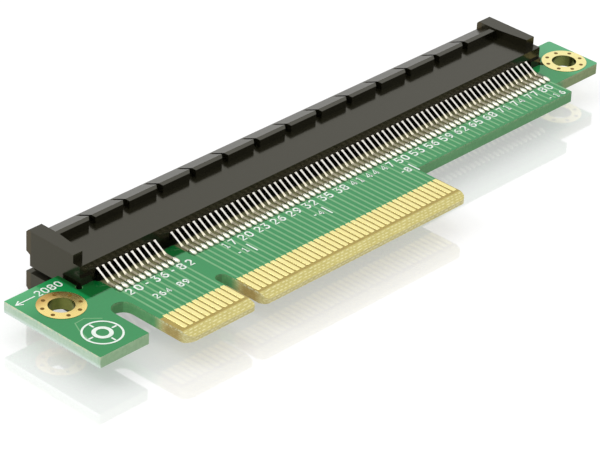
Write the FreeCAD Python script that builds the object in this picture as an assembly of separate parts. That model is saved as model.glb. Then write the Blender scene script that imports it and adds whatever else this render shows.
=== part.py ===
import FreeCAD, Part
import math
import os

# PCI Express riser card: a circuit board with a card edge along its front and a
# sixteen-lane card slot held between its two screw ears.
# Millimetres.  +X runs along the slot, +Y points out of the slot's mouth and
# +Z stands on the component side of the board.
# The origin is midway between the two screw holes, on the board's upper face.

# ---- contact rows, shared by the slot and the card edge ----
pin_pitch = 1.0
short_row_pin_count = 11
long_row_pin_count = 71
key_pin_gap = 3.0
x1_pin_count = 7
x4_pin_count = 14
x8_pin_count = 17

# ---- circuit board ----
board_thickness = 1.6
screw_hole_radius = 1.75
left_hole_beyond_housing = 4.9
right_hole_beyond_housing = 3.3
left_ear_reach = 4.6
right_ear_reach = 3.25
ear_back_y = 5.5
left_ear_front_y = -11.9
right_ear_front_y = -3.6
strip_front_y = -6.6
strip_end_beyond_last_pin = 0.1
ear_corner_radius = 0.4
relief_slot_width = 3.2
relief_slot_end_y = -4.1

# ---- card edge ----
tongue_front_y = -15.85
tongue_side_margin = 1.1
tongue_key_side_margin = 0.5
tongue_corner_radius = 1.2
key_corner_radius = 0.6
key_notch_width = 1.9
key_notch_end_y = -7.9
bevel_length = 1.4
bevel_depth = 0.45
finger_tip_margin = 0.4
finger_width = 0.7
finger_length = 3.85
copper_thickness = 0.05

# ---- plated screw holes ----
plating_radius = 3.2
plating_wall = 0.08

# ---- slot housing ----
housing_end_margin = 3.0
housing_height = 9.9
housing_width = 8.6
housing_rise = 0.15
housing_base_y = 2.0
panel_recess = 1.0
mouth_chamfer = 0.35
rim_depth = 3.5
rim_flat = 0.8
rim_mouth_drop = 1.15
rim_slit_pitch = 6.0
rim_slit_end_margin = 3.5
rim_slit_width = 0.45
rim_slit_flare = 0.7
end_cap_setback = 1.2
end_cap_rise = 0.2
end_cap_width_mouth = 2.3
end_cap_width_base = 1.6
end_notch_width = 2.0
end_notch_depth = 0.7
end_groove_width = 1.0
end_groove_depth = 1.3
end_groove_drop = 1.15
standoff_height = 0.35
standoff_length = 2.1
standoff_width = 3.5

# ---- card slot inside the housing ----
card_thickness = 1.57
card_clearance = 0.12
card_end_clearance = 0.1
slot_depth = 8.0
slot_lead_in = 0.5
key_rib_clearance = 0.08

# ---- contacts ----
contact_width = 0.42
contact_thickness = 0.2
contact_side_clearance = 0.1
contact_tail_offset = 1.95
contact_preload = 0.3
contact_apex_depth = 2.9
contact_tip_depth = 1.6
contact_tip_offset = 1.2
channel_mouth_depth = 1.0
tail_heel_y = 0.3
tail_toe_y = -2.4

# ---- pocket between the ears that takes the housing ----
pocket_end_clearance = 0.4
pocket_corner_relief = 0.5
tail_clearance_depth = 0.6
tail_clearance_margin = 0.8

# ---- places worked out from the sizes above ----
last_pin = short_row_pin_count + long_row_pin_count
x1_last_pin = short_row_pin_count + x1_pin_count
x4_last_pin = x1_last_pin + x4_pin_count
last_finger = x4_last_pin + x8_pin_count
short_row_length = (short_row_pin_count - 1) * pin_pitch
long_row_length = (long_row_pin_count - 1) * pin_pitch
row_length = short_row_length + key_pin_gap + long_row_length
housing_length = row_length + 2 * housing_end_margin
screw_spacing = left_hole_beyond_housing + housing_length + right_hole_beyond_housing
housing_left_x = left_hole_beyond_housing - screw_spacing / 2
housing_right_x = housing_left_x + housing_length
first_pin_x = housing_left_x + housing_end_margin
key_x = first_pin_x + short_row_length + key_pin_gap / 2

# lane bands of the slot: name, first pin, last pin
lane_bands = (
    ("power", 1, short_row_pin_count),
    ("x1", short_row_pin_count + 1, x1_last_pin),
    ("x4", x1_last_pin + 1, x4_last_pin),
    ("x8", x4_last_pin + 1, last_finger),
    ("x16", last_finger + 1, last_pin),
)

board_top_z = 0.0
board_bottom_z = board_top_z - board_thickness
slot_z = board_top_z - board_thickness / 2 + housing_rise
half_width = housing_width / 2
half_panel = half_width - panel_recess

mouth_y = housing_base_y + housing_height
slot_floor_y = mouth_y - slot_depth
cap_back_y = housing_base_y + end_cap_setback
rim_back_y = mouth_y - rim_depth
standoff_y = housing_base_y - standoff_height

slot_half = card_thickness / 2 + card_clearance
channel_width = contact_width + 2 * contact_side_clearance
channel_half = contact_tail_offset + contact_thickness / 2 + contact_side_clearance
bevel_back_y = tongue_front_y + bevel_length
finger_tip_y = bevel_back_y + finger_tip_margin


def pin_x(number):
    """Place of a pin along the slot; the key widens the gap after the short row."""
    step = (number - 1) * pin_pitch
    if number > short_row_pin_count:
        step += key_pin_gap - pin_pitch
    return first_pin_x + step


def prism_x(points, x_from, x_to):
    """Solid of a closed outline of (y, z) points, run along X."""
    corners = [FreeCAD.Vector(x_from, y, z) for y, z in points]
    face = Part.Face(Part.makePolygon(corners + corners[:1]))
    return face.extrude(FreeCAD.Vector(x_to - x_from, 0, 0))


def prism_z(points, z_from, z_to):
    """Solid of a closed outline of (x, y) points, run along Z."""
    corners = [FreeCAD.Vector(x, y, z_from) for x, y in points]
    face = Part.Face(Part.makePolygon(corners + corners[:1]))
    return face.extrude(FreeCAD.Vector(0, 0, z_to - z_from))


def block(x_from, x_to, y_from, y_to, z_from, z_to):
    """Box between two corners."""
    corner = FreeCAD.Vector(x_from, y_from, z_from)
    return Part.makeBox(x_to - x_from, y_to - y_from, z_to - z_from, corner)


def upright(x, y, radius, z_from, z_to):
    """Cylinder along Z."""
    return Part.makeCylinder(radius, z_to - z_from, FreeCAD.Vector(x, y, z_from))


def rounded_wire(corners, z):
    """Closed wire of (x, y, radius) corners, each turned by a tangent arc."""
    edges = []
    previous_end = None
    first_start = None
    count = len(corners)
    for index in range(count):
        x, y, radius = corners[index]
        here = FreeCAD.Vector(x, y, z)
        before = FreeCAD.Vector(corners[index - 1][0], corners[index - 1][1], z)
        after_x, after_y, _ = corners[(index + 1) % count]
        after = FreeCAD.Vector(after_x, after_y, z)
        to_before = (before - here).normalize()
        to_after = (after - here).normalize()
        half_turn = to_before.getAngle(to_after) / 2
        reach = radius / math.tan(half_turn)
        start = here + to_before * reach
        end = here + to_after * reach
        if previous_end is None:
            first_start = start
        elif previous_end.distanceToPoint(start) > 1e-6:
            edges.append(Part.LineSegment(previous_end, start).toShape())
        if radius > 0:
            inward = (to_before + to_after).normalize()
            middle = here + inward * (radius / math.sin(half_turn) - radius)
            edges.append(Part.Arc(start, middle, end).toShape())
        previous_end = end
    if previous_end.distanceToPoint(first_start) > 1e-6:
        edges.append(Part.LineSegment(previous_end, first_start).toShape())
    return Part.Wire(edges)


def board_outline():
    """Outline of the board, from the left ear's front corner, counter-clockwise."""
    left_x = -screw_spacing / 2 - left_ear_reach
    right_x = screw_spacing / 2 + right_ear_reach
    tongue_left_x = pin_x(1) - tongue_side_margin
    tongue_right_x = pin_x(last_finger) + tongue_key_side_margin
    strip_right_x = pin_x(last_pin) + strip_end_beyond_last_pin
    slot_left_x = tongue_left_x - relief_slot_width
    pocket_left_x = housing_left_x - pocket_end_clearance
    pocket_right_x = housing_right_x + pocket_end_clearance
    tails_left_x = pin_x(1) - tail_clearance_margin
    tails_right_x = pin_x(last_pin) + tail_clearance_margin
    tails_y = standoff_y - tail_clearance_depth
    slot_round = relief_slot_width / 2
    key_half = key_notch_width / 2
    small_round = tail_clearance_depth / 2
    return [
        (left_x, left_ear_front_y, 0.0),
        (slot_left_x, left_ear_front_y, 0.0),
        (slot_left_x, relief_slot_end_y, slot_round),
        (tongue_left_x, relief_slot_end_y, slot_round),
        (tongue_left_x, tongue_front_y, tongue_corner_radius),
        (key_x - key_half, tongue_front_y, key_corner_radius),
        (key_x - key_half, key_notch_end_y, key_half),
        (key_x + key_half, key_notch_end_y, key_half),
        (key_x + key_half, tongue_front_y, key_corner_radius),
        (tongue_right_x, tongue_front_y, tongue_corner_radius),
        (tongue_right_x, strip_front_y, 0.0),
        (strip_right_x, strip_front_y, 0.0),
        (strip_right_x, right_ear_front_y, 0.0),
        (right_x, right_ear_front_y, ear_corner_radius),
        (right_x, ear_back_y, ear_corner_radius),
        (pocket_right_x, ear_back_y, 0.0),
        (pocket_right_x, standoff_y, 0.0),
        (tails_right_x, standoff_y, small_round),
        (tails_right_x, tails_y, small_round),
        (tails_left_x, tails_y, small_round),
        (tails_left_x, standoff_y, small_round),
        (pocket_left_x, standoff_y, 0.0),
        (pocket_left_x, ear_back_y, 0.0),
        (left_x, ear_back_y, 0.0),
    ]


def tongue_bevels():
    """The two long wedges that leave the card edge's front thinner than the board."""
    left_x = pin_x(1) - tongue_side_margin
    right_x = pin_x(last_finger) + tongue_key_side_margin
    wedges = []
    for face_z, inward in ((board_top_z, -1), (board_bottom_z, 1)):
        outline = [
            (tongue_front_y, face_z),
            (tongue_front_y, face_z + inward * bevel_depth),
            (bevel_back_y, face_z),
        ]
        wedges.append(prism_x(outline, left_x, right_x))
    return wedges


def circuit_board():
    """Laminate with its ears, pocket, card edge, key notch and screw holes."""
    face = Part.Face(rounded_wire(board_outline(), board_bottom_z))
    board = face.extrude(FreeCAD.Vector(0, 0, board_thickness))
    cuts = tongue_bevels()
    for side in (-1, 1):
        hole_x = side * screw_spacing / 2
        drill_radius = screw_hole_radius + plating_wall
        cuts.append(upright(hole_x, 0, drill_radius, board_bottom_z, board_top_z))
        if side < 0:
            corner_x = housing_left_x - pocket_end_clearance
        else:
            corner_x = housing_right_x + pocket_end_clearance
        cuts.append(upright(corner_x, standoff_y, pocket_corner_relief, board_bottom_z, board_top_z))
    return board.cut(cuts)


def hole_plating(side):
    """Copper land on both faces of an ear, joined by the plated wall of its hole."""
    hole_x = side * screw_spacing / 2
    low_z = board_bottom_z - copper_thickness
    high_z = board_top_z + copper_thickness
    barrel_radius = screw_hole_radius + plating_wall
    sleeve = upright(hole_x, 0, barrel_radius, low_z, high_z)
    upper_land = upright(hole_x, 0, plating_radius, board_top_z, high_z)
    lower_land = upright(hole_x, 0, plating_radius, low_z, board_bottom_z)
    bore = upright(hole_x, 0, screw_hole_radius, low_z, high_z)
    return sleeve.fuse([upper_land, lower_land]).removeSplitter().cut(bore)


def slot_section():
    """Half-open section of the housing between its end caps, as (y, z) points."""
    upper = [
        (housing_base_y, half_panel),
        (rim_back_y, half_panel),
        (rim_back_y, half_width),
        (rim_back_y + rim_flat, half_width),
        (mouth_y, half_width - rim_mouth_drop),
    ]
    lower = [(y, -z) for y, z in reversed(upper)]
    return [(y, slot_z + z) for y, z in upper + lower]


def end_cap(side):
    """Full-height end of the housing.

    Above the board it is set back from the base and stands a little proud of the rim; below
    the board it runs down to the base, flush with the rim.
    """
    end_x = housing_left_x if side < 0 else housing_right_x
    body = None
    for up, back_y, rise in ((1, cap_back_y, end_cap_rise), (-1, housing_base_y, 0.0)):
        plan = [
            (end_x, back_y),
            (end_x, mouth_y),
            (end_x - side * end_cap_width_mouth, mouth_y),
            (end_x - side * end_cap_width_mouth, rim_back_y),
            (end_x - side * end_cap_width_base, back_y),
        ]
        outer_z = slot_z + up * (half_width + rise)
        half = prism_z(plan, slot_z, outer_z)
        corner = [
            (mouth_y, outer_z),
            (mouth_y - mouth_chamfer, outer_z),
            (mouth_y, outer_z - up * mouth_chamfer),
        ]
        half = half.cut(prism_x(corner, end_x - side * end_cap_width_mouth, end_x))
        body = half if body is None else body.fuse(half)
    return body


def end_notch(side):
    """Lead-in recess across an end cap's mouth face, with sloped lips."""
    end_x = housing_left_x if side < 0 else housing_right_x
    half = end_notch_width / 2
    outline = [
        (mouth_y, slot_z - half - end_notch_depth / 2),
        (mouth_y - end_notch_depth, slot_z - half),
        (mouth_y - end_notch_depth, slot_z + half),
        (mouth_y, slot_z + half + end_notch_depth / 2),
    ]
    return prism_x(outline, end_x - side * end_cap_width_mouth, end_x)


def end_groove(side):
    """Coring groove along the lower half of an end face."""
    end_x = housing_left_x if side < 0 else housing_right_x
    inner_x = end_x - side * end_groove_depth
    low_z = slot_z - end_groove_drop - end_groove_width / 2
    return block(
        min(end_x, inner_x), max(end_x, inner_x), cap_back_y, mouth_y, low_z, low_z + end_groove_width
    )


def rim_slits():
    """Slits that divide both rims into blocks, each flared at the back on one side."""
    cuts = []
    room = housing_length - 2 * (end_cap_width_mouth + rim_slit_end_margin)
    last_index = int(room / rim_slit_pitch)
    middle_x = (housing_left_x + housing_right_x) / 2
    first_x = middle_x - last_index * rim_slit_pitch / 2
    flare_y = rim_back_y + rim_flat
    for index in range(last_index + 1):
        right_x = first_x + index * rim_slit_pitch + rim_slit_width / 2
        left_x = right_x - rim_slit_width
        plan = [
            (left_x, mouth_y),
            (left_x, flare_y),
            (left_x - rim_slit_flare, rim_back_y),
            (right_x, rim_back_y),
            (right_x, mouth_y),
        ]
        cuts.append(prism_z(plan, slot_z + half_panel, slot_z + half_width))
        cuts.append(prism_z(plan, slot_z - half_width, slot_z - half_panel))
    return cuts


def card_pockets():
    """The two stretches of the card slot, one each side of the key rib."""
    rib_half = key_notch_width / 2 - key_rib_clearance
    left_x = pin_x(1) - tongue_side_margin - card_end_clearance
    right_x = pin_x(last_pin) + tongue_side_margin + card_end_clearance
    outline = [
        (slot_floor_y, slot_z - slot_half),
        (mouth_y - slot_lead_in, slot_z - slot_half),
        (mouth_y, slot_z - slot_half - slot_lead_in),
        (mouth_y, slot_z + slot_half + slot_lead_in),
        (mouth_y - slot_lead_in, slot_z + slot_half),
        (slot_floor_y, slot_z + slot_half),
    ]
    return [prism_x(outline, left_x, key_x - rib_half), prism_x(outline, key_x + rib_half, right_x)]


def contact_channels():
    """One channel for each contact in both slot walls, with its tail hole through the base."""
    channels = []
    half = channel_width / 2
    low_z = slot_z + slot_half
    high_z = slot_z + channel_half
    end_y = mouth_y - channel_mouth_depth
    for number in range(1, last_pin + 1):
        x = pin_x(number)
        channels.append(block(x - half, x + half, housing_base_y, end_y, low_z, high_z))
    below = FreeCAD.Vector(0, 0, -channel_half - slot_half)
    return channels + [channel.translated(below) for channel in channels]


def standoffs():
    """Feet of the housing that stop against the shoulders of the board's pocket."""
    low_z = slot_z - standoff_width / 2
    high_z = slot_z + standoff_width / 2
    feet = []
    for left_x in (housing_left_x, housing_right_x - standoff_length):
        feet.append(
            block(left_x, left_x + standoff_length, standoff_y, housing_base_y, low_z, high_z)
        )
    return feet


def slot_housing():
    """One moulding: base, side panels, slitted rims, end caps and standoffs."""
    middle_left_x = housing_left_x + end_cap_width_mouth
    middle_right_x = housing_right_x - end_cap_width_mouth
    body = prism_x(slot_section(), middle_left_x, middle_right_x)
    base_low_z = slot_z - half_panel
    base_high_z = slot_z + half_panel
    base = block(housing_left_x, housing_right_x, housing_base_y, rim_back_y, base_low_z, base_high_z)
    body = body.fuse([base, end_cap(-1), end_cap(1)] + standoffs()).removeSplitter()
    cuts = card_pockets() + contact_channels() + rim_slits()
    for side in (-1, 1):
        cuts.append(end_notch(side))
        cuts.append(end_groove(side))
    return body.cut(cuts)


def strip_section(path, thickness):
    """Outline of a bent strip: the (y, z) path offset to both sides, with mitred bends."""
    left = []
    right = []
    count = len(path)
    for index in range(count):
        y, z = path[index]
        normals = []
        for start, end in ((index - 1, index), (index, index + 1)):
            if start < 0 or end >= count:
                continue
            run_y = path[end][0] - path[start][0]
            run_z = path[end][1] - path[start][1]
            length = math.hypot(run_y, run_z)
            normals.append((-run_z / length, run_y / length))
        if len(normals) == 1:
            normals = normals * 2
        sum_y = normals[0][0] + normals[1][0]
        sum_z = normals[0][1] + normals[1][1]
        scale = thickness / (sum_y * sum_y + sum_z * sum_z)
        left.append((y + sum_y * scale, z + sum_z * scale))
        right.append((y - sum_y * scale, z - sum_z * scale))
    return left + right[::-1]


def contact_path(side):
    """Centre line of a contact: tip, card side bend, root in the base, heel and soldered toe."""
    face_z = board_top_z if side > 0 else board_bottom_z
    foot_z = face_z + side * contact_thickness / 2
    apex_offset = card_thickness / 2 - contact_preload + contact_thickness / 2
    return [
        (mouth_y - contact_tip_depth, slot_z + side * contact_tip_offset),
        (mouth_y - contact_apex_depth, slot_z + side * apex_offset),
        (housing_base_y, slot_z + side * contact_tail_offset),
        (tail_heel_y, foot_z),
        (tail_toe_y, foot_z),
    ]


def contacts(side, first, last):
    """Bent strip contacts of one lane band, on one side of the card."""
    outline = strip_section(contact_path(side), contact_thickness)
    half = contact_width / 2
    return [
        prism_x(outline, pin_x(number) - half, pin_x(number) + half)
        for number in range(first, last + 1)
    ]


def copper_layer(side):
    """Lower and upper Z of the copper that lies on one face of the board."""
    if side > 0:
        return board_top_z, board_top_z + copper_thickness
    return board_bottom_z - copper_thickness, board_bottom_z


def edge_fingers(side, first, last):
    """Gold fingers of one lane band, from just behind the bevel inwards."""
    low_z, high_z = copper_layer(side)
    half = finger_width / 2
    inner_y = finger_tip_y + finger_length
    return [
        block(pin_x(number) - half, pin_x(number) + half, finger_tip_y, inner_y, low_z, high_z)
        for number in range(first, last + 1)
    ]


os.makedirs("parts", exist_ok=True)


def save(name, shape):
    """Write one sub-part as parts/NAME.step."""
    shape.exportStep("parts/" + name + ".step")


save("circuit_board", circuit_board())
save("slot_housing", slot_housing())
save("left_hole_plating", hole_plating(-1))
save("right_hole_plating", hole_plating(1))
for side, face in ((1, "upper"), (-1, "lower")):
    for band, first, last in lane_bands:
        save(face + "_contacts_" + band, Part.makeCompound(contacts(side, first, last)))
        if last <= last_finger:
            save(face + "_edge_fingers_" + band, Part.makeCompound(edge_fingers(side, first, last)))
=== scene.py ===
"""Looks of the PCI Express riser card: finishes, solder, tracks, printed marks, light and camera.

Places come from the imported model's boxes, from the pin spacing that they imply, and from a few
sizes of the solid model that no box shows.
"""
import math

import bpy
import numpy as np
from mathutils import Matrix, Vector


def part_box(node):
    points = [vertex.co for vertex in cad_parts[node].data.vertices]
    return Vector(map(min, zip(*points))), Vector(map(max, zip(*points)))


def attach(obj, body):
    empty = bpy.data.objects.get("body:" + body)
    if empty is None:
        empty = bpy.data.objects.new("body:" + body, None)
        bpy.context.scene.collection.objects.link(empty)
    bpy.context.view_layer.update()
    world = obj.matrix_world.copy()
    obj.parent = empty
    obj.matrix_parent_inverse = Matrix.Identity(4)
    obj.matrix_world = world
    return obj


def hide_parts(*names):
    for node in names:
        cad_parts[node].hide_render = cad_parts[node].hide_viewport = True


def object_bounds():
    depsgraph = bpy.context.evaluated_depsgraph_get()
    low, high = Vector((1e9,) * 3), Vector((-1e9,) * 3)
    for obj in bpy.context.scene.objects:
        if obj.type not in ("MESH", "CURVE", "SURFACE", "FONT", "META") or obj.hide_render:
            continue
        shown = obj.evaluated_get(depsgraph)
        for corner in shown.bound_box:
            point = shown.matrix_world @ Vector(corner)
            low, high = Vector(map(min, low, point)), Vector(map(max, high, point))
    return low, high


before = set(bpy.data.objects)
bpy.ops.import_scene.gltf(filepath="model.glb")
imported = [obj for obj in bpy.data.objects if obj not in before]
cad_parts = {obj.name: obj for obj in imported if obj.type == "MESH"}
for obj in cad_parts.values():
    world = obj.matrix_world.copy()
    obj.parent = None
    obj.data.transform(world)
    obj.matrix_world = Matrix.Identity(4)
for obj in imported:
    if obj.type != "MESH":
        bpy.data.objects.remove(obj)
cad_low, cad_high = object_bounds()

MM = 0.001
PIN_PITCH = 1.0
KEY_GAP = 3.0
SHORT_ROW = 11
LAST_FINGER = 49
LAST_PIN = 82
LANE_ENDS = (18, 32, 49)
PIN_ROWS = ((1, SHORT_ROW), (SHORT_ROW + 1, LAST_PIN))
BANDS = ("power", "x1", "x4", "x8", "x16")
FINGER_BANDS = BANDS[:4]
FACES = (("upper", 1), ("lower", -1))
FAR = 80.0  # past every edge of the card, where a zone is open on one side


# ---------------------------------------------------------------- places, in millimetres

def box_mm(node):
    """Lowest and highest corner of a node, in millimetres."""
    low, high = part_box(node)
    return np.array(low) / MM, np.array(high) / MM


board_low, board_high = box_mm("circuit_board")
housing_low, housing_high = box_mm("slot_housing")
contacts_low, contacts_high = box_mm("upper_contacts_power")
_, x16_high = box_mm("upper_contacts_x16")
finger_low, finger_high = box_mm("upper_edge_fingers_power")
_, x8_high = box_mm("upper_edge_fingers_x8")

BOARD_TOP = board_high[2]
BOARD_BOTTOM = board_low[2]
CONTACT_WIDTH = contacts_high[0] - contacts_low[0] - (SHORT_ROW - 1) * PIN_PITCH
FIRST_PIN_X = contacts_low[0] + CONTACT_WIDTH / 2
TOE_Y = contacts_low[1]
FINGER_WIDTH = finger_high[0] - finger_low[0] - (SHORT_ROW - 1) * PIN_PITCH
FINGER_ROOT_Y = finger_high[1]
TONGUE_LEFT_X = finger_low[0] - 0.75
TONGUE_RIGHT_X = x8_high[0] + 0.15
HOUSING_LEFT_X = housing_low[0]
HOUSING_RIGHT_X = housing_high[0]
MOUTH_Y = housing_high[1]
INK_Z = BOARD_TOP + 0.021
INK_THICKNESS = 0.008

# sizes of the solid model that no box shows
STRIP_FRONT_Y = -6.6
LEFT_EAR_FRONT_Y = -11.9
BASE_Y = 2.0
SLOT_Z = housing_low[2] + 4.3
BEVEL_BACK_Y = board_low[1] + 1.4


def pin_x(number):
    """Place of a pin along the slot: one pitch a pin, and the key's gap after the short row."""
    number = np.asarray(number, float)
    return FIRST_PIN_X + (number - 1) * PIN_PITCH + (number > SHORT_ROW) * (KEY_GAP - PIN_PITCH)


# ---------------------------------------------------------------- colours and shader groups

def tone(red, green, blue):
    """Linear colour of a 0 to 255 display colour: the usual two-part display curve, undone."""
    shares = np.array((red, green, blue)) / 255.0
    linear = np.where(shares <= 0.04045, shares / 12.92, ((shares + 0.055) / 1.055) ** 2.4)
    return (*(float(share) for share in linear), 1.0)


class Graph:
    """Short calls for the nodes of one material or group."""

    def __init__(self, tree):
        self.tree = tree
        self.nodes = tree.nodes
        self.nodes.clear()

    def add(self, kind, **settings):
        """A node of that kind, with its settings."""
        node = self.nodes.new(kind)
        for name, value in settings.items():
            setattr(node, name, value)
        return node

    def feed(self, socket, value):
        """Link a socket, or set it to a plain value."""
        if isinstance(value, bpy.types.NodeSocket):
            self.tree.links.new(value, socket)
        elif value is not None:
            socket.default_value = value

    def math(self, operation, first, second=None, third=None):
        """One math step."""
        node = self.add("ShaderNodeMath", operation=operation)
        for socket, value in zip(node.inputs, (first, second, third)):
            self.feed(socket, value)
        return node.outputs[0]

    def product(self, *values):
        """All the values multiplied together."""
        total = values[0]
        for value in values[1:]:
            total = self.math("MULTIPLY", total, value)
        return total

    def mix(self, share, first, second):
        """Colour that goes from first to second as share goes from 0 to 1."""
        node = self.add("ShaderNodeMix", data_type="RGBA")
        self.feed(node.inputs["Factor"], share)
        self.feed(node.inputs["A"], first)
        self.feed(node.inputs["B"], second)
        return next(out for out in node.outputs if out.type == "RGBA")

    def blend(self, share, first, second):
        """Number that goes from first to second as share goes from 0 to 1."""
        node = self.add("ShaderNodeMix", data_type="FLOAT")
        self.feed(node.inputs["Factor"], share)
        self.feed(node.inputs["A"], first)
        self.feed(node.inputs["B"], second)
        return next(out for out in node.outputs if out.type == "VALUE")

    def noise(self, vector, scale, detail=2.0, roughness=0.5):
        """Cloud noise of a vector in millimetres."""
        node = self.add("ShaderNodeTexNoise")
        self.feed(node.inputs["Vector"], vector)
        node.inputs["Scale"].default_value = scale
        node.inputs["Detail"].default_value = detail
        node.inputs["Roughness"].default_value = roughness
        return node.outputs["Fac"]

    def place(self, scale=(1.0, 1.0, 1.0)):
        """Object coordinates in millimetres, stretched by scale."""
        coordinates = self.add("ShaderNodeTexCoord")
        mapping = self.add("ShaderNodeMapping")
        mapping.inputs["Scale"].default_value = [share / MM for share in scale]
        self.feed(mapping.inputs["Vector"], coordinates.outputs["Object"])
        return mapping.outputs["Vector"]

    def split(self, vector):
        """The three parts of a vector."""
        node = self.add("ShaderNodeSeparateXYZ")
        self.feed(node.inputs[0], vector)
        return node.outputs

    def group(self, tree, **values):
        """A shared group with its inputs set; returns its outputs."""
        node = self.add("ShaderNodeGroup")
        node.node_tree = tree
        for name, value in values.items():
            self.feed(node.inputs[name.replace("_", " ")], value)
        return node.outputs

    def zone(self, value, low, high, soft):
        """Mask of the shared span group: 1 where the value lies between low and high."""
        return self.group(SPAN, Value=value, Low=low, High=high, Soft=soft)["Mask"]

    def true_normal(self):
        """The three parts of the flat face's own normal."""
        return self.split(self.add("ShaderNodeNewGeometry").outputs["True Normal"])[:3]

    def bump(self, height, distance):
        """Normal of a height between 0 and 1, over a distance in millimetres."""
        node = self.add("ShaderNodeBump")
        node.inputs["Strength"].default_value = 1.0
        node.inputs["Distance"].default_value = distance * MM
        self.feed(node.inputs["Height"], height)
        return node.outputs["Normal"]


NUMBER = "NodeSocketFloat"
VECTOR = "NodeSocketVector"


def new_group(name, inputs, outputs):
    """Empty shader group with these inputs and outputs, with its graph and its two ends."""
    tree = bpy.data.node_groups.new(name, "ShaderNodeTree")
    for label, kind in inputs:
        tree.interface.new_socket(name=label, in_out="INPUT", socket_type=kind)
    for label, kind in outputs:
        tree.interface.new_socket(name=label, in_out="OUTPUT", socket_type=kind)
    graph = Graph(tree)
    start = graph.add("NodeGroupInput")
    end = graph.add("NodeGroupOutput")
    return tree, graph, start, end


def build_span_mask():
    """Mask that is 1 between Low and High and falls to 0 over a width Soft across each of them.

    Mask = 1/2 + the smaller of (Value - Low) / Soft and (High - Value) / Soft, held in 0 to 1.
    """
    tree, graph, start, end = new_group(
        "span_mask",
        (("Value", NUMBER), ("Low", NUMBER), ("High", NUMBER), ("Soft", NUMBER)),
        (("Mask", NUMBER),),
    )
    value, low, high, soft = (start.outputs[name] for name in ("Value", "Low", "High", "Soft"))
    rise = graph.math("DIVIDE", graph.math("SUBTRACT", value, low), soft)
    fall = graph.math("DIVIDE", graph.math("SUBTRACT", high, value), soft)
    both = graph.math("MINIMUM", rise, fall)
    lifted = graph.math("ADD", both, 0.5)
    clamp = graph.add("ShaderNodeClamp")
    graph.feed(clamp.inputs["Value"], lifted)
    graph.feed(end.inputs["Mask"], clamp.outputs[0])
    return tree


def build_fine_grain():
    """Fine grain over broad clouds: Shade is near 0.5, and Height is the grain alone."""
    tree, graph, start, end = new_group(
        "fine_grain",
        (("Vector", VECTOR), ("Grain", NUMBER), ("Clouds", NUMBER), ("Contrast", NUMBER)),
        (("Shade", NUMBER), ("Height", NUMBER)),
    )
    grain = graph.add("ShaderNodeTexNoise")
    graph.feed(grain.inputs["Vector"], start.outputs["Vector"])
    graph.feed(grain.inputs["Scale"], start.outputs["Grain"])
    grain.inputs["Detail"].default_value = 3.0
    clouds = graph.add("ShaderNodeTexNoise")
    graph.feed(clouds.inputs["Vector"], start.outputs["Vector"])
    graph.feed(clouds.inputs["Scale"], start.outputs["Clouds"])
    clouds.inputs["Detail"].default_value = 2.0
    mean = graph.product(graph.math("ADD", grain.outputs["Fac"], clouds.outputs["Fac"]), 0.5)
    swing = graph.product(graph.math("SUBTRACT", mean, 0.5), start.outputs["Contrast"])
    graph.feed(end.inputs["Shade"], graph.math("ADD", swing, 0.5))
    graph.feed(end.inputs["Height"], grain.outputs["Fac"])
    return tree


def build_yarn_ends():
    """Mask of glass yarns cut across at an edge: short ellipses in staggered rows.

    The row coordinate is the height from the board's middle plus the way up the bevel, and the
    other runs along the edge; each row is shifted by half a cell.  In cell units
    Mask = 1 - ((frac(u) - 1/2) / 0.42)^2 - ((frac(v) - 1/2) / 0.27)^2, held between 0 and 1.
    """
    tree, graph, start, end = new_group("yarn_ends", (("Vector", VECTOR),), (("Mask", NUMBER),))
    row_pitch, yarn_pitch = 0.3, 0.85
    x, y, z = graph.split(start.outputs["Vector"])[:3]
    drift = graph.noise(start.outputs["Vector"], 0.6, 2.0)
    middle = (BOARD_TOP + BOARD_BOTTOM) / 2
    height = graph.math("ABSOLUTE", graph.math("SUBTRACT", z, middle))
    up_bevel = graph.math("SUBTRACT", graph.math("MINIMUM", y, BEVEL_BACK_Y), board_low[1])
    height = graph.math("MULTIPLY_ADD", up_bevel, 0.45, height)
    row = graph.math("MULTIPLY_ADD", height, 1 / row_pitch, graph.product(drift, 0.8))
    shift = graph.product(graph.math("FLOOR", row), 0.5)
    wander = graph.math("MULTIPLY_ADD", drift, 2.4, shift)
    along = graph.math("ADD", x, graph.math("MAXIMUM", y, BEVEL_BACK_Y))
    along = graph.math("MULTIPLY_ADD", along, 1 / yarn_pitch, wander)
    total = None
    for value, reach in ((along, 0.42), (row, 0.27)):
        part = graph.math("SUBTRACT", graph.math("FRACT", value), 0.5)
        part = graph.math("POWER", graph.math("ABSOLUTE", graph.math("DIVIDE", part, reach)), 2.0)
        total = part if total is None else graph.math("ADD", total, part)
    clamp = graph.add("ShaderNodeClamp")
    graph.feed(clamp.inputs["Value"], graph.math("SUBTRACT", 1.0, total))
    graph.feed(end.inputs["Mask"], clamp.outputs[0])
    return tree


SPAN = build_span_mask()
GRAIN = build_fine_grain()
YARN = build_yarn_ends()


def new_material(name, **settings):
    """Material with one Principled shader whose plain settings are set on its sockets."""
    material = bpy.data.materials.new(name)
    material.use_nodes = True
    graph = Graph(material.node_tree)
    shader = graph.add("ShaderNodeBsdfPrincipled")
    output = graph.add("ShaderNodeOutputMaterial")
    graph.feed(output.inputs["Surface"], shader.outputs[0])
    for label, value in settings.items():
        shader.inputs[label.replace("_", " ")].default_value = value
    return material, graph, shader


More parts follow.
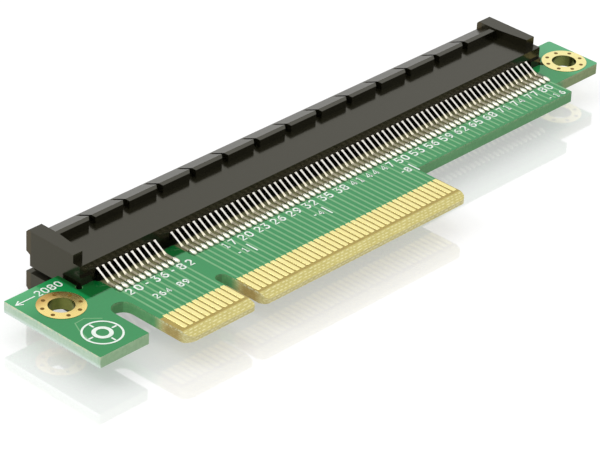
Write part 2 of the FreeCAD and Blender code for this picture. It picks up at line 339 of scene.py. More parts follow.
def mask_colour(graph, place):
    """Green mask: painted shade beside the housing and along the pin rows, fluxed at the pins, paler on
    the right ear, painted light at the left ear's back.
    """
    x, y = graph.split(place)[:2]
    clouds = graph.group(GRAIN, Vector=place, Grain=2.6, Clouds=0.16, Contrast=0.9)["Shade"]
    green = graph.mix(clouds, tone(8, 126, 60), tone(20, 144, 76))

    # Painted shade: a deeper green beside the housing and behind the pads, where the housing shades the
    # board.
    beside_housing = graph.zone(x, HOUSING_LEFT_X - 1.0, x16_high[0] + 0.7, 0.4)
    painted_shade_behind_pads = graph.zone(y, -1.2, FAR, 0.3)
    green = graph.mix(graph.product(beside_housing, painted_shade_behind_pads, 0.95), green, tone(3, 86, 34))
    # Painted light: a paler green that grows towards the back of the left ear.
    painted_light_left_back = graph.product(graph.zone(y, 3.0, FAR, 6.0), graph.zone(x, -FAR, -47.5, 4.0), 0.7)
    green = graph.mix(painted_light_left_back, green, tone(78, 184, 118))

    rows = graph.math(
        "MAXIMUM",
        *(graph.zone(x, float(pin_x(first)) - 0.4, float(pin_x(last)) + 0.4, 0.2)
          for first, last in PIN_ROWS),
    )
    residue = graph.mix(graph.noise(place, 2.6, 3.0, 0.6), tone(70, 72, 42), tone(160, 156, 116))
    # Along the pin rows: painted shade, dark green, between the solder joints; pale flux residue on the
    # feet; painted shade, near black, under the tails by the housing.
    row_stains_and_shade = ((-2.6, 0.7, tone(36, 60, 32)), (-1.15, 0.85, residue), (0.9, 0.95, tone(12, 9, 9)))
    for front_y, share, row_colour in row_stains_and_shade:
        flux = graph.product(graph.zone(y, front_y, 3.0, 0.35), rows, share)
        green = graph.mix(flux, green, row_colour)
    far_ear = graph.zone(x, HOUSING_RIGHT_X + 1.2, FAR, 2.0)
    return graph.mix(graph.product(far_ear, 0.55), green, tone(84, 182, 126))


def laminate_colour(graph, place, y, yarn):
    """Bare laminate beside the fingers, with yarns laid open on its bevel."""
    clouds = graph.group(GRAIN, Vector=place, Grain=6.0, Clouds=0.9, Contrast=1.4)["Shade"]
    flat = graph.mix(clouds, tone(142, 118, 34), tone(186, 164, 74))
    cut = graph.mix(clouds, tone(182, 168, 84), tone(216, 205, 128))
    cut = graph.mix(graph.product(yarn, 0.6), cut, tone(248, 242, 190))
    return graph.mix(graph.zone(y, -FAR, BEVEL_BACK_Y, 0.12), flat, cut)


def side_colour(graph, place, streak, yarn, side_face):
    """Sawn sides: green, gold at the card edge, tan at the right ear; painted light on the end-facing
    sides and the left end.
    """
    x, y, z = graph.split(place)[:3]

    def streaked(dark, light):
        """Colour that runs with the streaks from a dark tone to a light one."""
        return graph.mix(streak, tone(*dark), tone(*light))

    green = streaked((52, 116, 66), (110, 168, 112))
    # Painted light: the sides that face the card's ends are a paler green than those that face front and
    # back.
    green = graph.mix(graph.product(side_face, 0.8), green, streaked((70, 148, 92), (128, 194, 132)))
    gold = streaked((178, 162, 88), (236, 228, 168))
    gold = graph.mix(graph.product(yarn, 0.5), gold, tone(255, 250, 206))
    # The tongue's sides turn browner a little above its bevel.
    browner_tongue_sides = graph.product(side_face, graph.zone(y, -14.2, -11.2, 1.2), 0.6)
    gold = graph.mix(browner_tongue_sides, gold, streaked((124, 88, 16), (196, 156, 62)))

    on_tongue = graph.zone(x, TONGUE_LEFT_X - 0.5, TONGUE_RIGHT_X + 1.0, 0.1)
    gold_share = graph.product(graph.zone(y, -FAR, -10.3, 1.6), on_tongue)
    left_end = graph.zone(x, -FAR, board_low[0] + 0.1, 0.3)
    right_ear = graph.zone(x, HOUSING_RIGHT_X - 1.3, FAR, 1.0)
    ear_front_x = graph.zone(x, board_low[0], HOUSING_LEFT_X - 0.3, 0.4)
    ear_front_y = graph.zone(y, -FAR, LEFT_EAR_FRONT_Y + 0.3, 0.4)
    side = graph.mix(gold_share, green, gold)
    # Painted light: the left end face is pale, near white.
    side = graph.mix(left_end, side, streaked((166, 200, 170), (232, 242, 230)))
    side = graph.mix(graph.product(right_ear, 0.45), side, streaked((116, 112, 72), (196, 168, 130)))
    ear_front = graph.product(ear_front_x, ear_front_y, 0.75)
    side = graph.mix(ear_front, side, streaked((120, 164, 118), (192, 214, 180)))

    # Whitish chips along the sides' top edge: partly chipped glass fibre, partly a painted highlight.
    # They are strongest at the left end and the card edge.
    chips = graph.math("GREATER_THAN", graph.noise(place, 3.2, 3.0, 0.6), 0.5)
    chip_and_highlight_share = graph.blend(graph.math("MAXIMUM", left_end, gold_share), 0.15, 0.8)
    lip_chips_and_highlight = graph.product(graph.zone(z, -0.3, FAR, 0.3), chips, chip_and_highlight_share)
    side = graph.mix(lip_chips_and_highlight, side, tone(228, 228, 188))
    # Painted light: the lowest part of the left end face is near white.
    foot = graph.product(graph.zone(z, -FAR, BOARD_BOTTOM + 0.35, 0.4), left_end, 0.7)
    return graph.mix(foot, side, tone(236, 248, 246))


def build_board_finish():
    """Green mask on both faces, bare laminate at the card edge, sawn glass-fibre sides."""
    material, graph, shader = new_material("board_finish")
    place = graph.place()
    x, y = graph.split(place)[:2]
    yarn = graph.group(YARN, Vector=place)["Mask"]
    normal_x, _, normal_z = graph.true_normal()
    flat = graph.math("GREATER_THAN", graph.math("ABSOLUTE", normal_z), 0.5)
    side_face = graph.math("GREATER_THAN", graph.math("ABSOLUTE", normal_x), 0.6)

    bare_y = graph.zone(y, -FAR, FINGER_ROOT_Y - 0.3, 0.2)
    bare_x = graph.zone(x, TONGUE_LEFT_X - 0.5, TONGUE_RIGHT_X + 1.0, 0.05)
    bare = graph.product(bare_y, bare_x)
    face = graph.mix(bare, mask_colour(graph, place), laminate_colour(graph, place, y, yarn))
    layers = graph.noise(graph.place((0.35, 0.35, 5.0)), 1.0, 3.0, 0.6)
    fibres = graph.noise(graph.place((3.0, 3.0, 1.4)), 1.0, 2.0)
    streak = graph.product(graph.math("ADD", layers, fibres), 0.5)
    side = side_colour(graph, place, streak, yarn, side_face)

    graph.feed(shader.inputs["Base Color"], graph.mix(flat, side, face))
    gloss = graph.blend(bare, 0.07, 0.3)
    graph.feed(shader.inputs["Roughness"], graph.blend(flat, 0.62, gloss))
    weave = graph.noise(graph.place((1.0, 1.0, 0.0)), 1.9, 1.0)
    sawn = graph.product(streak, graph.math("SUBTRACT", 1.0, flat))
    relief = graph.math("ADD", graph.product(weave, 0.08), sawn)
    graph.feed(shader.inputs["Normal"], graph.bump(relief, 0.05))
    return material


def build_track_finish():
    """Solder mask over copper: paler and less deep a green than over bare laminate."""
    material, graph, shader = new_material("mask_over_copper")
    tint = graph.group(GRAIN, Vector=graph.place(), Grain=2.0, Clouds=0.3, Contrast=1.2)
    green = graph.mix(tint["Shade"], tone(92, 158, 102), tone(124, 182, 128))
    graph.feed(shader.inputs["Base Color"], green)
    graph.feed(shader.inputs["Roughness"], graph.blend(tint["Shade"], 0.1, 0.18))
    graph.feed(shader.inputs["Normal"], graph.bump(tint["Height"], 0.004))
    return material


def build_housing_finish():
    """Satin black-brown moulded plastic, duller on the rim slopes, dull with painted shade in the end
    grooves, with a painted highlight at the mouth on the ends.
    """
    material, graph, shader = new_material("housing_finish", Specular_Tint=(1.0, 0.93, 0.6, 1.0))
    place = graph.place()
    x, y, z = graph.split(place)[:3]
    normal_x, normal_y, _ = graph.true_normal()
    tint = graph.group(GRAIN, Vector=place, Grain=5.0, Clouds=0.12, Contrast=1.0)
    plastic = graph.mix(tint["Shade"], tone(14, 13, 7), tone(22, 21, 12))

    middle = graph.zone(x, HOUSING_LEFT_X + 1.35, HOUSING_RIGHT_X - 1.35, 0.04)
    mouth = graph.zone(y, MOUTH_Y - 0.85, FAR, 0.12)
    # Painted shade: the end grooves, away from the mouth and the middle, are near black.
    groove = graph.product(
        graph.zone(z, SLOT_Z - 1.67, SLOT_Z - 0.63, 0.02),
        graph.math("SUBTRACT", 1.0, mouth),
        graph.math("SUBTRACT", 1.0, middle),
    )
    bevelled = graph.math("GREATER_THAN", graph.math("ABSOLUTE", normal_x), 0.2)
    # Painted highlight: the mouth's edge on the end faces is a lighter warm brown.
    plastic = graph.mix(graph.product(mouth, bevelled, 0.8), plastic, tone(60, 46, 22))
    graph.feed(shader.inputs["Base Color"], graph.mix(groove, plastic, tone(7, 7, 5)))
    slope = graph.math("GREATER_THAN", normal_y, 0.15)
    satin = graph.blend(slope, graph.blend(tint["Shade"], 0.13, 0.19), 0.355)
    graph.feed(shader.inputs["Roughness"], graph.blend(groove, satin, 0.95))
    graph.feed(shader.inputs["Normal"], graph.bump(tint["Height"], 0.006))
    return material


def build_gold_finish():
    """Soft pale gold plate, brushed along the fingers, with a painted brown reflection behind the left
    screw hole and painted shade on its steep faces.
    """
    material, graph, shader = new_material("gold_plate_finish", Metallic=1.0)
    place = graph.place()
    x, y = graph.split(place)[:2]
    _, _, normal_z = graph.true_normal()
    brushed = graph.noise(graph.place((9.0, 0.7, 9.0)), 1.0, 3.0)
    clouds = graph.noise(place, 0.35, 2.0)
    share = graph.product(graph.math("ADD", brushed, clouds), 0.5)
    gold = graph.mix(share, tone(240, 223, 142), tone(255, 247, 180))
    left_land = graph.math("LESS_THAN", x, HOUSING_LEFT_X)
    gold = graph.mix(graph.product(left_land, 0.5), gold, tone(252, 212, 116))
    # Painted reflection: brown, on the left land behind its hole.
    painted_reflection_share = graph.product(graph.zone(y, 1.7, FAR, 1.6), left_land, 0.65)
    gold = graph.mix(painted_reflection_share, gold, graph.mix(clouds, tone(120, 66, 14), tone(216, 150, 62)))
    # Painted shade: every steep face, the hole walls and the fingers' sides, is a dark olive.
    wall = graph.math("LESS_THAN", graph.math("ABSOLUTE", normal_z), 0.5)
    gold = graph.mix(graph.product(wall, 0.9), gold, tone(72, 90, 38))
    graph.feed(shader.inputs["Base Color"], gold)
    graph.feed(shader.inputs["Roughness"], graph.blend(share, 0.16, 0.3))
    graph.feed(shader.inputs["Normal"], graph.bump(brushed, 0.004))
    return material


def build_tin_finish():
    """Bright tin over bronze: golden inside the slot, dull with flux on the feet."""
    material, graph, shader = new_material("tin_finish", Metallic=1.0)
    place = graph.place()
    y = graph.split(place)[1]
    tint = graph.group(GRAIN, Vector=place, Grain=3.0, Clouds=0.8, Contrast=1.2)
    bright = graph.mix(tint["Shade"], tone(212, 208, 198), tone(250, 248, 242))
    colour = graph.mix(graph.zone(y, 2.1, FAR, 0.4), bright, tone(222, 186, 112))
    foot = graph.zone(y, -1.3, -0.22, 0.2)
    flux = graph.mix(tint["Shade"], tone(108, 104, 76), tone(194, 186, 156))
    colour = graph.mix(graph.product(foot, 0.85), colour, flux)
    heel = graph.zone(y, -0.2, 0.45, 0.25)
    colour = graph.mix(graph.product(heel, 0.6), colour, tone(250, 240, 204))
    graph.feed(shader.inputs["Base Color"], colour)
    skin = graph.blend(tint["Shade"], 0.14, 0.26)
    graph.feed(shader.inputs["Roughness"], graph.blend(foot, skin, 0.6))
    graph.feed(shader.inputs["Normal"], graph.bump(tint["Height"], 0.006))
    return material


def build_solder_finish():
    """Bright solder with a slightly frosted, uneven skin."""
    material, graph, shader = new_material("solder_finish", Metallic=1.0)
    tint = graph.group(GRAIN, Vector=graph.place(), Grain=3.4, Clouds=1.1, Contrast=1.6)
    silver = graph.mix(tint["Shade"], tone(206, 206, 186), tone(250, 250, 234))
    graph.feed(shader.inputs["Base Color"], silver)
    graph.feed(shader.inputs["Roughness"], graph.blend(tint["Shade"], 0.16, 0.36))
    graph.feed(shader.inputs["Normal"], graph.bump(tint["Height"], 0.03))
    return material


def build_ink_finish():
    """White marking ink, a little thin in places."""
    material, graph, shader = new_material("marking_ink", Roughness=0.5)
    tint = graph.group(GRAIN, Vector=graph.place(), Grain=4.0, Clouds=0.7, Contrast=1.8)
    white = graph.mix(tint["Shade"], tone(204, 222, 208), tone(252, 255, 250))
    graph.feed(shader.inputs["Base Color"], white)
    graph.feed(shader.inputs["Normal"], graph.bump(tint["Height"], 0.005))
    return material


def build_via_finish():
    """Small plated holes, filled with a brown gold."""
    material, graph, shader = new_material("via_finish", Specular_IOR_Level=0.2)
    tint = graph.group(GRAIN, Vector=graph.place(), Grain=5.0, Clouds=2.0, Contrast=1.5)
    brown = graph.mix(tint["Shade"], tone(92, 66, 8), tone(130, 98, 28))
    graph.feed(shader.inputs["Base Color"], brown)
    graph.feed(shader.inputs["Roughness"], graph.blend(tint["Shade"], 0.4, 0.6))
    return material


board_finish = build_board_finish()
track_finish = build_track_finish()
housing_finish = build_housing_finish()
gold_finish = build_gold_finish()
tin_finish = build_tin_finish()
solder_finish = build_solder_finish()
ink_finish = build_ink_finish()
via_finish = build_via_finish()


def dress(node, material):
    """Give a CAD node its finish."""
    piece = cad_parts[node]
    if not piece.material_slots:
        piece.data.materials.append(material)
    for holder in piece.material_slots:
        holder.material = material


# ---------------------------------------------------------------- new pieces

def lay_piece(name, points, faces, material, smooth=False):
    """Mesh piece from arrays in millimetres, riding on the card's one body."""
    mesh = bpy.data.meshes.new(name)
    mesh.from_pydata((np.asarray(points, float) * MM).tolist(), [], [list(face) for face in faces])
    mesh.validate()
    mesh.update()
    if smooth:
        mesh.polygons.foreach_set("use_smooth", np.ones(len(mesh.polygons), bool))
    mesh.materials.append(material)
    piece = bpy.data.objects.new(name, mesh)
    bpy.context.scene.collection.objects.link(piece)
    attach(piece, "root")
    return piece


def repeat(template, faces, offsets):
    """A template's points at every offset, and its faces shifted by the points before them."""
    template = np.asarray(template, float)
    offsets = np.asarray(offsets, float)
    points = (template[None, :, :] + offsets[:, None, :]).reshape(-1, 3)
    count = len(template)
    all_faces = [
        tuple(index + count * copy for index in face) for copy in range(len(offsets)) for face in faces
    ]
    return points, all_faces


def flip_to_face(points, side):
    """Upper face points as they are, or mirrored to the board's lower face."""
    points = np.array(points, float)
    if side < 0:
        points[:, 2] = BOARD_TOP + BOARD_BOTTOM - points[:, 2]
    return points


def turn_faces(faces, side):
    """Faces in their own order, or reversed after a mirror."""
    return faces if side > 0 else [tuple(reversed(face)) for face in faces]


def ring_stack(rings, close_bottom=True):
    """Skin over a stack of point rings of one length, with a fan over the last and under the first.

    Ring k and ring k + 1 are joined by quads; the caps are single many-sided faces.
    """
    rings = [np.asarray(ring, float) for ring in rings]
    size = len(rings[0])
    points = np.concatenate(rings)
    faces = []
    for level in range(len(rings) - 1):
        for step in range(size):
            after = (step + 1) % size
            low = level * size
            high = low + size
            faces.append((low + step, low + after, high + after, high + step))
    top = (len(rings) - 1) * size
    faces.append(tuple(range(top, top + size)))
    if close_bottom:
        faces.append(tuple(reversed(range(size))))
    return points, faces


def superellipse(half_x, half_y, power, count):
    """Outline |x/a|^p + |y/b|^p = 1 at count even angles: x = a sgn(c)|c|^(2/p), same for y."""
    angle = (np.arange(count) + 0.5) * 2 * np.pi / count
    cosine, sine = np.cos(angle), np.sin(angle)
    x = half_x * np.sign(cosine) * np.abs(cosine) ** (2 / power)
    y = half_y * np.sign(sine) * np.abs(sine) ** (2 / power)
    return x, y


def solder_template():
    """Solder mound on a contact's foot: rings shrink and draw back as they rise.

    A ring of share s lies at z = h sqrt(1 - s^4), its middle moved back by 0.32 (1 - s).
    """
    half_width, half_length, rise, lean = 0.36, 0.72, 0.4, 0.32
    rings = []
    for share in (1.0, 0.93, 0.8, 0.6, 0.35):
        x, y = superellipse(half_width * share, half_length * share, 2.6, 14)
        height = rise * math.sqrt(1.0 - share ** 4)
        rings.append(np.stack([x, y + lean * (1.0 - share), np.full_like(x, height)], 1))
    return ring_stack(rings)


def build_solder(face, side):
    """One row of solder joints, a mound at every pin."""
    points, faces = solder_template()
    pins = np.arange(1, LAST_PIN + 1)
    offsets = np.stack(
        [pin_x(pins), np.full(len(pins), TOE_Y + 0.44), np.full(len(pins), BOARD_TOP + 0.001)], 1
    )
    points, faces = repeat(points, faces, offsets)
    return lay_piece(
        face + "_solder_joints", flip_to_face(points, side), turn_faces(faces, side),
        solder_finish, smooth=True,
    )


def contact_stations(side):
    """Rows of (y, z, half width) along a contact: tip, bend at the card, root, tail and foot."""
    face_z = BOARD_TOP if side > 0 else BOARD_BOTTOM
    foot_z = face_z + side * 0.1
    root_z = SLOT_Z + side * 1.95
    heel_y = -0.1

    def on_tail(share):
        """Point of the sloped tail: share 0 is the root and share 1 the heel."""
        return BASE_Y + share * (heel_y - BASE_Y), root_z + share * (foot_z - root_z)

    return [
        (MOUTH_Y - 1.64, SLOT_Z + side * 1.17, 0.16),
        (MOUTH_Y - 2.9, SLOT_Z + side * 0.585, 0.18),
        (BASE_Y, root_z, 0.2),
        (*on_tail(0.06), 0.19),
        (*on_tail(0.1), 0.155),
        (*on_tail(0.7), 0.14),
        (*on_tail(0.88), 0.185),
        (heel_y, foot_z, 0.22),
        (-0.45, foot_z, 0.2),
        (-1.3, foot_z, 0.2),
        (TOE_Y + 0.01, foot_z, 0.15),
    ]


def contact_template(side, thickness=0.2, ease=0.035):
    """Bent strip with eased edges, carried along its stations.

    Each section is offset along the sum n of its two neighbours' unit normals by
    n t / |n|^2, which keeps the thickness t on both sides of a bend.
    """
    stations = np.array(contact_stations(side))
    path = stations[:, :2]
    run = np.diff(path, axis=0)
    run /= np.linalg.norm(run, axis=1, keepdims=True)
    normal = np.stack([run[:, 1], -run[:, 0]], 1)
    total = np.concatenate([normal[:1], normal]) + np.concatenate([normal, normal[-1:]])
    lift = total / (total ** 2).sum(1, keepdims=True)
    rings = []
    for centre, way, half in zip(path, lift, stations[:, 2]):
        inner = 1.0 - 2 * ease / thickness
        flat = half - ease
        across = np.array((half, half, flat, -flat, -half, -half, -flat, flat))
        off = np.array((-inner, inner, 1.0, 1.0, inner, -inner, -1.0, -1.0)) * thickness
        rings.append(np.column_stack([across, centre[0] + off * way[0], centre[1] + off * way[1]]))
    return ring_stack(rings)


def build_contacts(face, side, band):
    """The contacts of one lane band, with slim tails; they stand for the solid model's strips."""
    node = face + "_contacts_" + band
    low, high = box_mm(node)
    count = int(round((high[0] - low[0] - CONTACT_WIDTH) / PIN_PITCH)) + 1
    template, faces = contact_template(side)
    x = low[0] + CONTACT_WIDTH / 2 + np.arange(count) * PIN_PITCH
    offsets = np.stack([x, np.zeros(count), np.zeros(count)], 1)
    points, faces = repeat(template, faces, offsets)
    piece = lay_piece(face + "_contact_strips_" + band, points, faces, tin_finish)
    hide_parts(node)
    return piece


def finger_template(length, width, thickness):
    """Gold finger: straight at its root, corners rounded at its tip, upper edge eased.

    The tip's corners are quarter circles of angle t: half - r + r cos t across, r - r sin t along.
    """
    radius = 0.3
    ease = 0.03
    half = width / 2
    turn = np.linspace(0, np.pi / 2, 5)
    right = np.stack([half - radius + radius * np.cos(turn), radius - radius * np.sin(turn)], 1)
    left = np.stack([-right[::-1, 0], right[::-1, 1]], 1)
    outline = np.concatenate([[[half, length]], right, left, [[-half, length]]])[::-1]
    centre = outline.mean(0)
    rings = []
    for inset, z in ((0.0, 0.0), (0.0, 0.6 * thickness), (ease, thickness)):
        shrink = 1.0 - inset / np.maximum(np.abs(outline - centre), 0.2)
        ring = centre + (outline - centre) * shrink
        rings.append(np.column_stack([ring, np.full(len(ring), z)]))
    return ring_stack(rings)


def build_fingers(face, side, band):
    """The fingers of one lane band, which stand for the plain ones of the solid model."""
    node = face + "_edge_fingers_" + band
    low, high = box_mm(node)
    count = int(round((high[0] - low[0] - FINGER_WIDTH) / PIN_PITCH)) + 1
    template, faces = finger_template(high[1] - low[1], FINGER_WIDTH, high[2] - low[2])
    x = low[0] + FINGER_WIDTH / 2 + np.arange(count) * PIN_PITCH
    offsets = np.stack([x, np.full(count, low[1]), np.full(count, BOARD_TOP)], 1)
    points, faces = repeat(template, faces, offsets)
    piece = lay_piece(
        face + "_gold_fingers_" + band, flip_to_face(points, side), turn_faces(faces, side),
        gold_finish,
    )
    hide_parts(node)
    return piece


def carry(path, width, base_z, thickness, closed=False, crown=0.0):
    """Flat bar carried along a path in the board's plane, with mitred bends.

    At each point the two edges lie half a width off along the mean normal, divided by its
    squared length, so both bars that meet there keep their width.  crown lifts the middle.
    """
    path = np.asarray(path, float)
    ahead = np.roll(path, -1, 0) - path
    if not closed:
        ahead[-1] = ahead[-2]
    behind = np.roll(ahead, 1, 0)
    if not closed:
        behind[0] = ahead[0]
    normals = []
    for run in (behind, ahead):
        unit = run / np.linalg.norm(run, axis=1, keepdims=True)
        normals.append(np.stack([-unit[:, 1], unit[:, 0]], 1))
    mean = (normals[0] + normals[1]) / 2
    mean /= np.maximum((mean ** 2).sum(1, keepdims=True), 0.35)
    left = path + mean * width / 2
    right = path - mean * width / 2
    top = base_z + thickness
    columns = [
        np.column_stack([right, np.full(len(path), base_z)]),
        np.column_stack([right, np.full(len(path), top)]),
        np.column_stack([left, np.full(len(path), top)]),
        np.column_stack([left, np.full(len(path), base_z)]),
    ]
    if crown:
        columns.insert(2, np.column_stack([path, np.full(len(path), top + crown)]))
    size = len(columns)
    points = np.stack(columns, 1).reshape(-1, 3)
    count = len(path)
    faces = []
    for step in range(count if closed else count - 1):
        here = step * size
        there = ((step + 1) % count) * size
        for side in range(size):
            after = (side + 1) % size
            faces.append((here + side, there + side, there + after, here + after))
    if not closed:
        faces.append(tuple(range(size)))
        faces.append(tuple(reversed(range((count - 1) * size, count * size))))
    return points, faces


def gather(parts):
    """Several point and face lists as one."""
    all_points = []
    all_faces = []
    count = 0
    for points, faces in parts:
        all_points.append(points)
        all_faces += [tuple(index + count for index in face) for face in faces]
        count += len(points)
    return np.concatenate(all_points), all_faces


def build_tracks(face, side):
    """Copper tracks under the mask: one from each solder joint towards its finger."""
    width, thickness, crown = 0.31, 0.008, 0.012
    parts = []
    for number in range(1, LAST_PIN + 1):
        x = float(pin_x(number))
        end_y = FINGER_ROOT_Y + 0.02 if number <= LAST_FINGER else STRIP_FRONT_Y + 0.35
        way = [(x, TOE_Y + 0.1), (x, end_y)]
        parts.append(carry(way, width, BOARD_TOP, thickness, crown=crown))
    if side > 0:
        ear = [(-51.6, -8.4), (-50.9, -5.7), (-50.2, -4.2), (-48.6, -4.1), (-46.9, -5.6)]
        parts.append(carry(ear, 0.16, BOARD_TOP, 0.006, crown=0.01))
    points, faces = gather(parts)
    return lay_piece(
        face + "_copper_tracks", flip_to_face(points, side), turn_faces(faces, side),
        track_finish,
    )


STROKES = {
    "0": [[(0.2, 0), (0.4, 0), (0.6, 0.2), (0.6, 0.8), (0.4, 1), (0.2, 1), (0, 0.8), (0, 0.2), (0.2, 0)]],
    "1": [[(0.08, 0.8), (0.3, 1), (0.3, 0)], [(0.08, 0), (0.52, 0)]],
    "2": [[(0, 0.8), (0.2, 1), (0.42, 1), (0.6, 0.82), (0.6, 0.62), (0, 0), (0.6, 0)]],
    "3": [[
        (0, 1), (0.6, 1), (0.28, 0.6), (0.5, 0.56), (0.6, 0.4), (0.6, 0.18), (0.4, 0), (0.18, 0),
        (0, 0.16),
    ]],
    "4": [[(0.45, 0), (0.45, 1), (0, 0.3), (0.62, 0.3)]],
    "5": [[
        (0.58, 1), (0.06, 1), (0, 0.55), (0.38, 0.6), (0.6, 0.42), (0.6, 0.18), (0.4, 0), (0.14, 0),
        (0, 0.14),
    ]],
    "6": [[
        (0.5, 1), (0.2, 0.85), (0, 0.5), (0, 0.2), (0.2, 0), (0.4, 0), (0.6, 0.2), (0.6, 0.38),
        (0.4, 0.55), (0.2, 0.55), (0, 0.4),
    ]],
    "7": [[(0, 1), (0.6, 1), (0.22, 0)]],
    "8": [[
        (0.2, 0.54), (0, 0.7), (0, 0.86), (0.16, 1), (0.44, 1), (0.6, 0.86), (0.6, 0.7), (0.4, 0.54),
        (0.2, 0.54), (0, 0.38), (0, 0.14), (0.16, 0), (0.44, 0), (0.6, 0.14), (0.6, 0.38), (0.4, 0.54),
    ]],
    "9": [[
        (0.1, 0), (0.4, 0.15), (0.6, 0.5), (0.6, 0.8), (0.4, 1), (0.2, 1), (0, 0.8), (0, 0.62),
        (0.2, 0.45), (0.4, 0.45), (0.6, 0.6),
    ]],
    "-": [[(0.1, 0.5), (0.5, 0.5)]],
}


def number_marks(text, x, y, height, pitch, line):
    """Plain numerals drawn with a plotter's strokes, from (x, y) along the slot."""
    parts = []
    for index, sign in enumerate(text):
        for stroke in STROKES.get(sign, []):
            path = np.array(stroke) * height + (x + index * pitch, y)
            closed = bool(np.allclose(path[0], path[-1]))
            if closed:
                path = path[:-1]
            parts.append(carry(path, line, INK_Z, INK_THICKNESS, closed))
    return parts


def circle(x, y, radius, count=48):
    """Even points of a circle."""
    angle = np.arange(count) * 2 * np.pi / count
    return np.stack([x + radius * np.cos(angle), y + radius * np.sin(angle)], 1)


def arrow_marks(tip_x, y):
    """Arrow that points to the card's left end, its head over its shaft."""
    head = [(tip_x + 1.0, y + 0.5), (tip_x + 0.1, y), (tip_x + 1.0, y - 0.5)]
    shaft = [(tip_x + 0.25, y), (tip_x + 3.3, y)]
    return [
        carry(head, 0.22, INK_Z, INK_THICKNESS),
        carry(shaft, 0.2, INK_Z, 0.8 * INK_THICKNESS),
    ]


def target_marks(x, y):
    """Target: an outer and an inner ring, and four bars between them."""
    parts = [
        carry(circle(x, y, 2.58), 0.28, INK_Z, INK_THICKNESS, closed=True),
        carry(circle(x, y, 1.1), 0.55, INK_Z, INK_THICKNESS, closed=True),
    ]
    for quarter in range(4):
        angle = quarter * math.pi / 2
        way = np.array([math.cos(angle), math.sin(angle)])
        parts.append(carry([(x, y) + way * 1.6, (x, y) + way * 2.35], 0.26, INK_Z, INK_THICKNESS))
    return parts


def build_marks():
    """Printed marks: arrow, target, lane ticks and plain pin numbers."""
    ear_left = board_low[0]
    first = float(pin_x(1))
    parts = arrow_marks(ear_left + 0.3, 3.78)
    parts += number_marks("2080", ear_left + 4.0, 3.42, 1.12, 1.12, 0.21)
    parts += target_marks(ear_left + 4.05, -8.0)
    parts += number_marks("20-36-82", first + 0.2, -4.0, 1.2, 1.5, 0.25)
    parts += number_marks("264 89", first + 2.0, -6.85, 0.95, 1.05, 0.21)
    for number in range(17, LAST_PIN - 1, 3):
        parts += number_marks(str(number), float(pin_x(number)) - 1.0, -4.15, 1.2, 1.3, 0.23)
    for lane, last in zip(("1", "4", "8"), LANE_ENDS):
        tick_x = float(pin_x(last)) + 0.6
        parts.append(carry([(tick_x, -5.05), (tick_x, -7.15)], 0.24, INK_Z, INK_THICKNESS))
        parts += number_marks("-" + lane, tick_x - 2.4, -6.5, 1.0, 1.0, 0.22)
    parts += number_marks("-16", float(pin_x(LAST_PIN)) - 3.9, -6.3, 0.95, 1.25, 0.21)
    points, faces = gather(parts)
    return lay_piece("printed_marks", points, faces, ink_finish)


def build_land_vias(side_name, face, side):
    """Eight small plated holes round a screw hole's land, on one face."""
    count, sides = 8, 16
    circle_radius, via_radius, thickness = 2.52, 0.29, 0.006
    low, high = box_mm(side_name + "_hole_plating")
    angle = (np.arange(count) + 0.5) * 2 * np.pi / count
    x = (low[0] + high[0]) / 2 + circle_radius * np.cos(angle)
    offsets = np.stack([x, circle_radius * np.sin(angle), np.full(count, high[2])], 1)
    foot = np.column_stack([circle(0, 0, via_radius, sides), np.zeros(sides)])
    disc = foot + (0, 0, thickness)
    points, faces = repeat(*ring_stack([foot, disc]), offsets)
    return lay_piece(
        side_name + "_" + face + "_land_vias", flip_to_face(points, side), turn_faces(faces, side),
        via_finish,
    )


dress("circuit_board", board_finish)
dress("slot_housing", housing_finish)
for side_name in ("left", "right"):
    dress(side_name + "_hole_plating", gold_finish)
for face, side in FACES:
    for band in BANDS:
        build_contacts(face, side, band)
    build_solder(face, side)
    build_tracks(face, side)
    for band in FINGER_BANDS:
        build_fingers(face, side, band)
    for side_name in ("left", "right"):
        build_land_vias(side_name, face, side)
build_marks()


# ---------------------------------------------------------------- stage, light and camera

FLOOR_Z = cad_low[2] - 0.01 * MM  # a hair under the housing, so that no two faces coincide


def build_floor():
    """Pale glossy floor that keeps the card's shadow.

    The camera and reflections see a darker base and a weak glow, other rays the pale base alone.
    """
    material = bpy.data.materials.new("pale_floor")
    material.use_nodes = True
    graph = Graph(material.node_tree)
    shader = graph.add("ShaderNodeBsdfPrincipled")
    shader.inputs["Roughness"].default_value = 0.05
    shader.inputs["IOR"].default_value = 2.35
    glow = graph.add("ShaderNodeEmission")
    light = graph.add("ShaderNodeLightPath")
    seen = graph.math("MAXIMUM", light.outputs["Is Camera Ray"], light.outputs["Is Glossy Ray"])
    pale, greyer = (0.84, 0.84, 0.84, 1.0), (0.53, 0.53, 0.53, 1.0)
    graph.feed(shader.inputs["Base Color"], graph.mix(seen, pale, greyer))
    graph.feed(glow.inputs["Strength"], graph.math("MULTIPLY", seen, 0.42))
    both = graph.add("ShaderNodeAddShader")
    graph.feed(both.inputs[0], shader.outputs[0])
    graph.feed(both.inputs[1], glow.outputs[0])
    output = graph.add("ShaderNodeOutputMaterial")
    graph.feed(output.inputs["Surface"], both.outputs[0])
    reach = 4.0
    corners = [(-reach, -reach), (reach, -reach), (reach, reach), (-reach, reach)]
    mesh = bpy.data.meshes.new("floor")
    mesh.from_pydata([(x, y, FLOOR_Z) for x, y in corners], [], [(0, 1, 2, 3)])
    mesh.materials.append(material)
    floor = bpy.data.objects.new("floor", mesh)
    bpy.context.scene.collection.objects.link(floor)


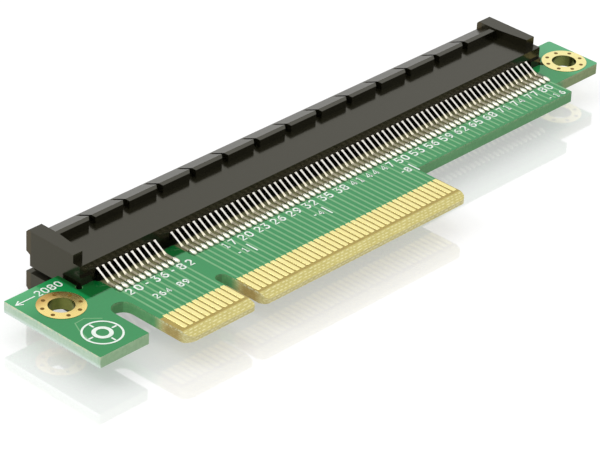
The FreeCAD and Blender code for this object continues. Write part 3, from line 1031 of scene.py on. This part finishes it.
def build_world():
    """White surroundings for the camera and for reflections, and a softer fill for shading."""
    world = bpy.data.worlds.new("soft_studio")
    world.use_nodes = True
    graph = Graph(world.node_tree)
    light = graph.add("ShaderNodeLightPath")
    seen = graph.math("MAXIMUM", light.outputs["Is Camera Ray"], light.outputs["Is Glossy Ray"])
    seen = graph.math("MAXIMUM", seen, light.outputs["Is Transmission Ray"])
    back = graph.add("ShaderNodeBackground")
    back.inputs["Color"].default_value = (1.0, 1.0, 1.0, 1.0)
    graph.feed(back.inputs["Strength"], graph.blend(seen, 0.78, 1.0))
    output = graph.add("ShaderNodeOutputWorld")
    graph.feed(output.inputs["Surface"], back.outputs[0])
    bpy.context.scene.world = world


def build_lamp(name, place, size, power):
    """Square soft light aimed at the card's middle."""
    data = bpy.data.lights.new(name, "AREA")
    data.shape = "SQUARE"
    data.size = size
    data.energy = power
    lamp = bpy.data.objects.new(name, data)
    lamp.location = place
    lamp.rotation_euler = (-Vector(place)).to_track_quat("-Z", "Y").to_euler()
    bpy.context.scene.collection.objects.link(lamp)


def build_camera():
    """Long lens, about 30 degrees above the card and looking along it from its wide ear."""
    data = bpy.data.cameras.new("camera")
    data.sensor_fit = "HORIZONTAL"
    data.sensor_width = 36.0
    data.lens = 199.41
    data.clip_start = 0.01
    data.clip_end = 20.0
    camera = bpy.data.objects.new("camera", data)
    forward = Vector((0.63582, 0.58072, -0.50842)).normalized()
    up = Vector((0.34301, 0.37748, 0.86014))
    right = forward.cross(up).normalized()
    up = right.cross(forward)
    turn = Matrix((right, up, -forward)).transposed()
    place = Vector((-0.28679, -0.25693, 0.21905))
    camera.matrix_world = Matrix.Translation(place) @ turn.to_4x4()
    bpy.context.scene.collection.objects.link(camera)
    bpy.context.scene.camera = camera


build_floor()
build_world()
build_lamp("key_light", (-0.30, 0.22, 0.45), 0.30, 0.8)
build_lamp("top_light", (0.10, 0.05, 0.55), 0.40, 0.5)
build_camera()
bpy.context.scene.view_settings.view_transform = "Standard"
